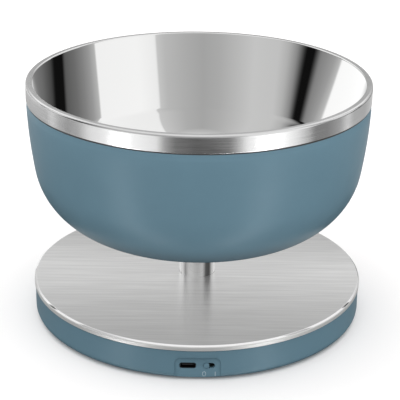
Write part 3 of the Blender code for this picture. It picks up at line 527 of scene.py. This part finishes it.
def line_brushed_steel(name, colour, roughness, anisotropic):
    """Steel brushed along X: long fine grooves, so reflections smear along Y, with painted shade that darkens its
    colour towards the front and the back.
    """
    made, tree, shader = principled(name, colour, roughness, 1, Anisotropic=anisotropic)
    tangent = add(tree, "ShaderNodeTangent", direction_type="RADIAL", axis="X").outputs[0]
    tree.links.new(tangent, shader.inputs["Tangent"])
    fine = noise(tree, object_place(tree, (20, 1500, 1)))
    broad = noise(tree, object_place(tree, (16, 420, 1)), detail=2)
    grain = math(tree, "ADD", math(tree, "MULTIPLY", fine, 0.4), math(tree, "MULTIPLY", broad, 0.6))
    # painted shade: the colour darkens with distance in front of and behind the middle line
    from_middle = math(tree, "ABSOLUTE", object_axes(tree)["Y"])
    painted_shade = ramp(tree, math(tree, "MULTIPLY", from_middle, 1 / PLATE_PAINTED_SHADE_REACH), PLATE_PAINTED_SHADE)
    streaks = spread(tree, grain, 0.88, 1.12)
    shade = mix(tree, 1.0, math(tree, "MULTIPLY", painted_shade, streaks), (*colour, 1), "MULTIPLY")
    tree.links.new(shade, shader.inputs["Base Color"])
    tree.links.new(spread(tree, grain, roughness - 0.06, roughness + 0.06), shader.inputs["Roughness"])
    bump(tree, shader, grain, strength=0.3, distance=0.01 * MM)
    return made


# Painted reflection on the drawn post: bright and dark bands round from one side to the other, in parts of a half
# turn, front in the middle
POST_PAINTED_REFLECTION = [
    (0, 0.9), (0.15, 1.0), (0.32, 1.0), (0.37, 0.95), (0.5, 0.9), (0.56, 0.83), (0.6, 0.6), (0.63, 0.36),
    (0.66, 0.11), (0.72, 0.09), (0.75, 0.2), (0.79, 0.6), (0.84, 0.95), (1, 0.9),
]


def drawn_steel(name, colour, roughness):
    """Polished drawn tube with lengthwise bands of painted reflection, bright and dark, the same at the front and
    at the back.
    """
    made, tree, shader = principled(name, colour, roughness, 1)
    half = math(tree, "FRACT", math(tree, "MULTIPLY_ADD", bearing_of(tree, object_axes(tree)), 1 / pi, 0.5))
    grain = noise(tree, object_place(tree, (900, 900, 30)), detail=3)
    # painted reflection: bright and dark bands of colour round the post
    shade = math(tree, "MULTIPLY", ramp(tree, half, POST_PAINTED_REFLECTION), spread(tree, grain, 0.97, 1.03))
    tree.links.new(shade, shader.inputs["Base Color"])
    tree.links.new(spread(tree, grain, roughness - 0.02, roughness + 0.02), shader.inputs["Roughness"])
    return made


def satin_paint(name, colour, roughness, foot=None):
    """Satin lacquer over moulded plastic: faint mottling and a very fine skin.

    A foot is the two heights between which it goes from a dull foot with painted shade, darker under the bowl, to
    its full colour and gloss.
    """
    full_gloss, foot_painted_shade = 0.13, 0.58
    made, tree, shader = principled(name, colour, roughness, 0, Specular_IOR_Level=full_gloss)
    mottled = vary_colour(tree, shader, noise(tree, object_place(tree), scale=60), colour, amount=0.02)
    if foot:
        low, high = foot
        height = object_axes(tree)["Z"]
        # painted shade: the colour darkens towards the bottom, under the bowl
        painted_shade = math(tree, "MULTIPLY_ADD", smooth_step(tree, height, low, high), 1 - foot_painted_shade, foot_painted_shade)
        tree.links.new(mix(tree, 1.0, mottled, painted_shade, "MULTIPLY"), shader.inputs["Base Color"])
        shine = smooth_step(tree, height, low + 2 * MM, high + 6 * MM)
        tree.links.new(math(tree, "MULTIPLY", shine, full_gloss), shader.inputs["Specular IOR Level"])
    unevenness = noise(tree, object_place(tree), scale=90, detail=3)
    tree.links.new(spread(tree, unevenness, roughness - 0.03, roughness + 0.03), shader.inputs["Roughness"])
    skin = noise(tree, object_place(tree), scale=1400, detail=3)
    bump(tree, shader, skin, strength=0.06, distance=0.03 * MM)
    return made


def moulded(name, colour, roughness, grain_scale=900, strength=0.25, sheen=0.0):
    """Plastic or rubber with a fine moulded grain."""
    made, tree, shader = principled(name, colour, roughness, 0, Sheen_Weight=sheen)
    grain = noise(tree, object_place(tree), grain_scale)
    vary_colour(tree, shader, noise(tree, object_place(tree), scale=120, detail=3), colour, amount=0.08)
    tree.links.new(spread(tree, grain, roughness - 0.06, roughness + 0.06), shader.inputs["Roughness"])
    bump(tree, shader, grain, strength, distance=0.04 * MM)
    return made


def plain_metal(name, colour, roughness):
    """Turned or plated metal: fine mottled finish."""
    made, tree, shader = principled(name, colour, roughness, 1)
    mottle = noise(tree, object_place(tree), scale=700)
    vary_colour(tree, shader, mottle, colour, amount=0.05)
    tree.links.new(spread(tree, mottle, roughness - 0.06, roughness + 0.06), shader.inputs["Roughness"])
    return made


def make_materials():
    """Finishes by name. The names that the CAD's slots use are among them."""
    steel = (0.87, 0.87, 0.865)
    return {
        "mirror": mirror_steel("mirror_steel", steel, 0.015, 0.035),
        "lip": ring_brushed_steel("lip_steel", (0.76, 0.76, 0.76), 0.17, 0.3),
        "band": ring_brushed_steel("band_steel", (0.88, 0.88, 0.88), 0.13, 0.8),
        "post": drawn_steel("drawn_post_steel", (0.84, 0.84, 0.84), 0.07),
        "polished_steel": mirror_steel("post_steel", (0.84, 0.84, 0.84), 0.05, 0.09),
        "bevel": mirror_steel("bevel_steel", (0.95, 0.95, 0.95), 0.04, 0.08),
        "skirt": ring_brushed_steel("skirt_steel", (0.70, 0.70, 0.69), 0.45, 0.3, 0.45),
        "brushed_steel": line_brushed_steel("plate_steel", (0.86, 0.86, 0.855), 0.36, 0.8),
        # painted shade: the base's blue is the shell's blue made darker, for the shade on the base's side
        "blue_base_painted_shade": satin_paint("blue_base_satin_painted_shade", (0.140, 0.246, 0.310), 0.34),
        # painted shade: the shell's blue darkens towards its bottom, between these two heights
        "blue_shell": satin_paint("blue_satin", (0.172, 0.299, 0.376), 0.34, (60 * MM, 78 * MM)),
        "glyph": moulded("glyph_paint", (0.42, 0.52, 0.58), 0.5, 1500, 0.05),
        "bearing_steel": plain_metal("bearing_steel", (0.55, 0.55, 0.57), 0.25),
        "zinc_steel": plain_metal("zinc_steel", (0.58, 0.58, 0.60), 0.35),
        "port_steel": plain_metal("port_steel", (0.05, 0.052, 0.055), 0.4),
        "gold": plain_metal("contact_gold", (0.80, 0.58, 0.25), 0.25),
        "brass": plain_metal("brass", (0.70, 0.52, 0.25), 0.30),
        "black_rubber": moulded("black_rubber", (0.022, 0.022, 0.022), 0.8, 1200, 0.5, 0.1),
        "silicone": moulded("silicone", (0.25, 0.27, 0.29), 0.65, 1500, 0.15, 0.1),
        "white_acetal": moulded("white_acetal", (0.80, 0.79, 0.75), 0.42, 1400, 0.08),
        "black_plastic": moulded("black_plastic", (0.022, 0.023, 0.025), 0.5, 1600, 0.35),
        "board_green": moulded("board_green", (0.02, 0.13, 0.06), 0.4, 500, 0.1),
        "battery_wrap": moulded("battery_wrap", (0.62, 0.64, 0.66), 0.32, 300, 0.1),
        "red_wire": moulded("red_wire", (0.50, 0.02, 0.02), 0.45, 800, 0.1),
    }


# Bowl


def shell_outline(inset):
    """Outside of the shell from its top edge to its flat floor, moved inwards by inset."""
    taper, sweep = 1.4, 7.8  # degrees: lean of the wall at the top, and how far the wall's arc goes
    wall_radius, corner_radius, top = 313 * MM, 45 * MM, 136.8 * MM
    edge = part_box("bowl_shell")[1].x
    start, end = radians(taper), radians(taper + sweep)
    wall_centre = (edge - wall_radius * cos(start), top + wall_radius * sin(start))
    joint = (wall_centre[0] + wall_radius * cos(end), wall_centre[1] - wall_radius * sin(end))
    corner_centre = (joint[0] - corner_radius * cos(end), joint[1] + corner_radius * sin(end))
    wall = arc(wall_centre, wall_radius - inset, -taper, -taper - sweep, 10)
    return wall + arc(corner_centre, corner_radius - inset, -taper - sweep, -90, 28)[1:]


def make_liner(paints):
    """Pressed steel bowl with a rolled rim and an outer band."""
    top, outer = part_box("bowl_liner")[1].z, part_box("bowl_liner")[1].x
    inner, band_bottom, corner = 98.1 * MM, 137.2 * MM, 34 * MM
    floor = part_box("bowl_liner")[0].z + SHEET
    taper = tan(radians(4.5))
    inner_floor = inner - (top - floor) * taper
    under_floor = inner + SHEET - (top - floor + SHEET) * taper
    mirror, lip, band = 0, 1, 2
    liner = lathe("liner", filleted([
        (0, floor, 0, mirror),
        (0, floor - SHEET, 0, mirror),
        (under_floor, floor - SHEET, corner + SHEET, mirror),
        (inner + SHEET, top - SHEET, 0, mirror),
        (outer - SHEET, top - SHEET, 0.2 * MM, mirror),
        (outer - SHEET, band_bottom, 0.2 * MM, band),
        (outer, band_bottom, 0.3 * MM, band),
        (outer, top, 1.3 * MM, lip),
        (inner, top, 0.7 * MM, mirror),
        (inner_floor, floor, corner, mirror),
    ]), [paints["mirror"], paints["lip"], paints["band"]])
    use(liner, "bowl", "polished_steel", "bowl_liner")
    return liner


def make_shell(paints):
    """Outer shell, with a tongue up inside the band painted dark as painted shade in the groove under the band,
    and a pocket below for the drive plate.
    """
    outside, inside = shell_outline(0), shell_outline(2 * MM)
    tongue_outer, tongue_inner, tongue_top = 100.7 * MM, 99.5 * MM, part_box("bowl_shell")[1].z
    ledge, eased = 136.5 * MM, 0.4 * MM
    pocket, lining, ceiling, roof = 41 * MM, 2 * MM, 62 * MM, 64 * MM
    outer_floor, inner_floor = outside[-1][1], inside[-1][1]
    # painted shade: the tongue takes the black plastic, standing for the shade in the groove under the band
    blue, dark = 0, 1
    shell = lathe("shell", (
        [(tongue_outer, tongue_top, dark), (tongue_outer, ledge, dark)]
        + [(outside[0][0] - 0.35 * MM, ledge - 0.1 * MM, blue)]
        + [(r, z, blue) for r, z in outside if z < ledge - eased]
        + filleted([
            (pocket + 1 * MM, outer_floor, 0, blue),
            (pocket, outer_floor, 0.6 * MM, blue),
            (pocket, ceiling, 0.8 * MM, blue),
            (0, ceiling, 0, blue),
            (0, roof, 0, blue),
            (pocket + lining, roof, 1 * MM, blue),
            (pocket + lining, inner_floor, 0, blue),
        ], closed=False)
        + [(r, z, blue) for r, z in reversed(inside)]
        + [(tongue_inner, 137.2 * MM, blue), (tongue_inner, tongue_top, blue)]
    ), [paints["blue_shell"], paints["black_plastic"]])
    use(shell, "bowl", "blue_shell", "bowl_shell")
    return shell


# Base


def make_post(paints):
    """Steel tube with a flange inside the base and a thin trim ring on top."""
    low, high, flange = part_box("post")[0].z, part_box("post")[1].z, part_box("post")[1].x
    flange_top, bore, bearing_seat, mouth = 21.2 * MM, 9.8 * MM, 22.4 * MM, 8.4 * MM
    post = lathe("post_tube", filleted([
        (mouth, low, 0, 0),
        (flange, low, 0.3 * MM, 0),
        (flange, flange_top, 0.3 * MM, 0),
        (POST_RADIUS, flange_top, 0, 0),
        (POST_RADIUS, high, 0.2 * MM, 0),
        (bore, high, 0.2 * MM, 0),
        (bore, bearing_seat, 0, 0),
        (mouth, bearing_seat, 0.2 * MM, 0),
    ]), [paints["post"]], segments=96)
    use(post, "base", "polished_steel", "post")
    low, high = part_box("post_cap")[0].z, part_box("post_cap")[1].z
    step, hole, spigot_outer, spigot_inner = 55.3 * MM, 6.4 * MM, 9.4 * MM, 8.2 * MM
    cap = lathe("post_collar", filleted([
        (hole, step, 0.1 * MM, 0),
        (hole, high, 0.2 * MM, 0),
        (POST_RADIUS, high, 0.5 * MM, 0),
        (POST_RADIUS, step, 0.1 * MM, 0),
        (spigot_outer, step, 0, 0),
        (spigot_outer, low, 0.1 * MM, 0),
        (spigot_inner, low, 0.1 * MM, 0),
        (spigot_inner, step, 0, 0),
    ]), [paints["post"]], segments=96)
    use(cap, "base", "polished_steel", "post_cap")


def make_top_plate(paints):
    """Brushed disc with a hole for the post, a bright chamfer and a short skirt."""
    low, top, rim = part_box("top_plate")[0].z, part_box("top_plate")[1].z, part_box("top_plate")[1].x
    chamfer, hole = 1 * MM, POST_RADIUS + 0.05 * MM
    face, bevel, skirt = 0, 1, 2
    plate = lathe("steel_top", filleted([
        (hole, top - SHEET, 0, face),
        (hole, top, 0.15 * MM, face),
        (rim - chamfer, top, 0.25 * MM, bevel),
        (rim, top - chamfer, 1 * MM, skirt),
        (rim, low, 0.15 * MM, skirt),
        (rim - SHEET, low, 0.1 * MM, skirt),
        (rim - SHEET, top - chamfer - 0.2 * MM, 0, skirt),
        (rim - chamfer - 0.4 * MM, top - SHEET, 0, face),
    ]), [paints["brushed_steel"], paints["bevel"], paints["skirt"]])
    use(plate, "base", "brushed_steel", "top_plate")


def make_housing(paints):
    """Side wall of the base, with the sunk flat panel and the openings for the port and the switch."""
    low, high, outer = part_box("base_housing")[0].z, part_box("base_housing")[1].z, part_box("base_housing")[1].x
    wall, ledge, opening, flange = 97.8 * MM, 91 * MM, 93.2 * MM, 94 * MM
    ledge_low, ledge_high, flange_low, flange_high = 3.3 * MM, 5.3 * MM, 16.4 * MM, 18.4 * MM
    housing = lathe("housing", filleted([
        (wall, high, 0, 0),
        (outer, high, 0.25 * MM, 0),
        (outer, low, 4 * MM, 0),
        (opening, low, 0.2 * MM, 0),
        (opening, ledge_low, 0, 0),
        (ledge, ledge_low, 0, 0),
        (ledge, ledge_high, 0, 0),
        (wall, ledge_high, 0, 0),
        (wall, flange_low, 0, 0),
        (flange, flange_low, 0, 0),
        (flange, flange_high, 0, 0),
        (wall, flange_high, 0, 0),
    ]), [paints["blue_base_painted_shade"]], segments=288)

    left, right, top, corner = -12 * MM, 14.2 * MM, 14.8 * MM, 4 * MM
    past, front, back, foot, tall = 2 * MM, -98.6 * MM, -96 * MM, 4 * MM, 13 * MM
    block = [(left - past, front), (right + past, front), (right + past, back), (left - past, back)]
    backing = prism("backing", [(x, y, foot) for x, y in block], (0, 0, tall))
    shape_with(housing, [backing], "UNION")

    clear, deep = -110 * MM, 6 * MM
    sill = (
        [(left, 0), (right, 0)] + arc((right - corner, top - corner), corner, 0, 90, 10)
        + arc((left + corner, top - corner), corner, 90, 180, 10)
    )
    recess = prism("recess", [(x, clear, z) for x, z in sill], (0, PANEL_Y - clear, 0))
    port = bar("port", (9.4 * MM, 3.7 * MM, 1.3 * MM), PORT, -outer, deep)
    slot = bar("slot", (6.6 * MM, 3.5 * MM, 1.74 * MM), SWITCH, -outer, deep)
    shape_with(housing, [recess, port, slot], edge=0.25 * MM)
    use(housing, "base", "blue_shell", "base_housing")


def make_port(paints):
    """USB-C inlet: a folded shell, a tongue, and its rows of contacts."""
    front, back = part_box("usb_c_shell")[0].y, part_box("usb_c_shell")[1].y
    depth, wall = back - front, 0.35 * MM
    shell = bar("port_shell", (8.94 * MM, 3.26 * MM, 1.2 * MM), PORT, front, depth, [paints["port_steel"]])
    mouth = bar("mouth", (8.24 * MM, 2.56 * MM, 0.95 * MM), PORT, front - MM, depth + MM - wall)
    shape_with(shell, [mouth], edge=0.08 * MM)
    use(shell, "base", "zinc_steel", "usb_c_shell")

    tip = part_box("usb_c_tongue")[0].y
    blade, heel = (6.6 * MM, 0.7 * MM, 0.2 * MM, 3), (7.2 * MM, 2 * MM, 0.4 * MM, 3)
    tongue = bar("port_tongue", blade, PORT, tip, 4.8 * MM, [paints["black_plastic"]])
    root = bar("root", heel, PORT, tip + 3.8 * MM, 1.7 * MM)
    shape_with(tongue, [root], "UNION", edge=0.06 * MM)
    use(tongue, "base", "black_plastic", "usb_c_tongue")

    per_side, pitch, contact = 12, 0.5 * MM, (0.28 * MM, 2.6 * MM, 0.06 * MM)
    from_tip, from_middle = 2 * MM, 0.36 * MM
    bm = bmesh.new()
    for side in (-1, 1):
        for i in range(per_side):
            across = PORT[0] + (i - (per_side - 1) / 2) * pitch
            middle = Vector((across, tip + from_tip, PORT[1] + side * from_middle))
            size = Matrix.Diagonal((*contact, 1))
            bmesh.ops.create_cube(bm, size=1, matrix=Matrix.Translation(middle) @ size)
    contacts = mesh_piece("port_contacts", bm, [paints["gold"]])
    use(contacts, "base", "brass")


def make_switch(paints):
    """Sliding knob with a soft edge, on a stem that reaches the switch behind it."""
    low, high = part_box("switch_knob")
    place, thick = ((low.x + high.x) / 2, SWITCH[1]), 2.2 * MM
    knob = bar("knob", (3.2 * MM, 3 * MM, 1.3 * MM), place, low.y, thick, [paints["blue_base_painted_shade"]])
    start = low.y + 2 * MM
    stem = bar("stem", (1.8 * MM, 1.4 * MM, 0.2 * MM, 2), place, start, high.y - start)
    shape_with(knob, [stem], "UNION", edge=0.3 * MM)
    use(knob, "power_knob", "blue_shell", "switch_knob")


def make_glyphs(paints):
    """Printed 0 and I under the switch."""
    front, thick, height = PANEL_Y - 0.05 * MM, 0.045 * MM, 3 * MM
    left, right = (4.85 * MM, 4 * MM), (11.1 * MM, 4 * MM)
    zero = bar("glyph_0", (2.1 * MM, height, 1.04 * MM), left, front, thick, [paints["glyph"]])
    hole = bar("hole", (1.4 * MM, 2.3 * MM, 0.69 * MM), left, front - MM, 2 * MM)
    shape_with(zero, [hole])
    use(zero, "base", "white_acetal")
    one = bar("glyph_1", (0.42 * MM, height, 0.2 * MM, 4), right, front, thick, [paints["glyph"]])
    use(one, "base", "white_acetal")


def make_cover(paints, screw_places, foot_places):
    """Bottom cover with a stepped hole for each screw and a seat for each foot."""
    low, high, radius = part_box("bottom_cover")[0].z, 3 * MM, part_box("bottom_cover")[1].x
    cover = lathe("cover", filleted([
        (0, low, 0, 0),
        (radius, low, 0.4 * MM, 0),
        (radius, high, 0.2 * MM, 0),
        (0, high, 0, 0),
    ]), [paints["black_plastic"]])
    head, head_seat, shank, through = 3.1 * MM, 2.3 * MM, 1.6 * MM, 5 * MM
    foot, foot_seat, under = 7.3 * MM, 2.1 * MM, -1 * MM
    tools = []
    for screw_place, foot_place in zip(screw_places, foot_places):
        tools.append(rod(screw_place, head, under, head_seat))
        tools.append(rod(screw_place, shank, under, through))
        tools.append(rod(foot_place, foot, under, foot_seat))
    shape_with(cover, tools)
    use(cover, "base", "black_plastic", "bottom_cover")


def make_cover_screw(paints, number, place):
    """Screw with a low round head and a hexagon socket."""
    low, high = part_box("cover_screw_1")[0].z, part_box("cover_screw_1")[1].z
    head, head_top, shank, hexagon, socket_top = 2.8 * MM, 2.2 * MM, 1.1 * MM, 1.4 * MM, 1.8 * MM
    screw = lathe(f"cover_screw_head_{number}", filleted([
        (0, low, 0, 0),
        (head, low, 0.35 * MM, 0),
        (head, head_top, 0, 0),
        (shank, head_top, 0, 0),
        (shank, high, 0.3 * MM, 0),
        (0, high, 0, 0),
    ]), [paints["zinc_steel"]], segments=48, centre=place)
    shape_with(screw, [rod(place, hexagon, 0, socket_top, 6)], edge=0.08 * MM)
    use(screw, "base", "zinc_steel", f"cover_screw_{number}")


def make_foot(paints, number, place):
    """Round rubber pad that stands on the table."""
    radius, high = 7 * MM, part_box("foot_1")[1].z
    foot = lathe(f"foot_pad_{number}", filleted([
        (0, 0, 0, 0),
        (radius, 0, 0.5 * MM, 0),
        (radius, high, 0, 0),
        (0, high, 0, 0),
    ]), [paints["black_rubber"]], segments=64, centre=place)
    use(foot, "base", "black_rubber", f"foot_{number}")


def make_underside(paints):
    """Bottom cover, its four screws, and the four feet."""
    screw_places = circle((0, 0), 88.5 * MM, 4, 22.5)
    foot_places = circle((0, 0), 78 * MM, 4, 45)
    make_cover(paints, screw_places, foot_places)
    for number, (screw_place, foot_place) in enumerate(zip(screw_places, foot_places), 1):
        make_cover_screw(paints, number, screw_place)
        make_foot(paints, number, foot_place)


# Drive plate under the bowl


def make_drive(paints):
    """Plate with three drive pins and a hexagon hole for the spindle, and the three grip pads on it."""
    low, high, pin_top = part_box("drive_plate")[0].z, 59.6 * MM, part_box("drive_plate")[1].z
    radius, pin_circle, pin_radius, pin_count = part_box("drive_plate")[1].x, 17 * MM, 2.6 * MM, 3
    plate = lathe("carrier", filleted([
        (0, low, 0, 0),
        (radius, low, 0.6 * MM, 0),
        (radius, high, 0.6 * MM, 0),
        (34 * MM, high, 0, 0),
        (0, high, 0, 0),
    ]), [paints["black_plastic"]], segments=128)
    pins = [rod(place, pin_radius, high - MM, pin_top) for place in circle((0, 0), pin_circle, pin_count)]
    shape_with(plate, pins, "UNION")
    shape_with(plate, [rod((0, 0), 4.8 * MM, low - MM, high + MM, 6)], edge=0.25 * MM)
    use(plate, "rotor", "black_plastic", "drive_plate")

    pad_low, pad_high, pad_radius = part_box("grip_pad_1")[0].z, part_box("grip_pad_1")[1].z, 4 * MM
    for number, place in enumerate(circle((0, 0), 32.5 * MM, 3, 30), 1):
        pad = lathe(f"grip_dot_{number}", filleted([
            (0, pad_low, 0, 0),
            (pad_radius, pad_low, 0, 0),
            (pad_radius, pad_high, 0.5 * MM, 0),
            (0, pad_high, 0, 0),
        ]), [paints["silicone"]], segments=48, centre=place)
        use(pad, "rotor", "silicone", f"grip_pad_{number}")


def leave_out_of_reflections(height):
    """Keeps the pieces above this height, on the bowl's side of the gap, out of the polished parts."""
    for obj in bpy.context.scene.objects:
        if obj.type == "MESH" and min(corner[2] for corner in obj.bound_box) > height:
            obj.visible_glossy = False


def paint_cad_nodes(paints):
    """Gives each CAD node the finish that its slot names."""
    slots = {p["node"]: p["material_slot"] for p in frame["record"]["subparts"]}
    for name, node in frame["nodes"].items():
        paint = paints[slots[name]]
        if node.material_slots:
            node.material_slots[0].material = paint
        else:
            node.data.materials.append(paint)


place_camera()
light_studio()
make_studio()
paints = make_materials()
paint_cad_nodes(paints)
for piece in (make_liner(paints), make_shell(paints), frame["nodes"]["rim_seal"]):
    piece.visible_glossy = False
make_post(paints)
make_top_plate(paints)
make_housing(paints)
make_port(paints)
make_switch(paints)
make_glyphs(paints)
make_underside(paints)
make_drive(paints)
leave_out_of_reflections(56 * MM)
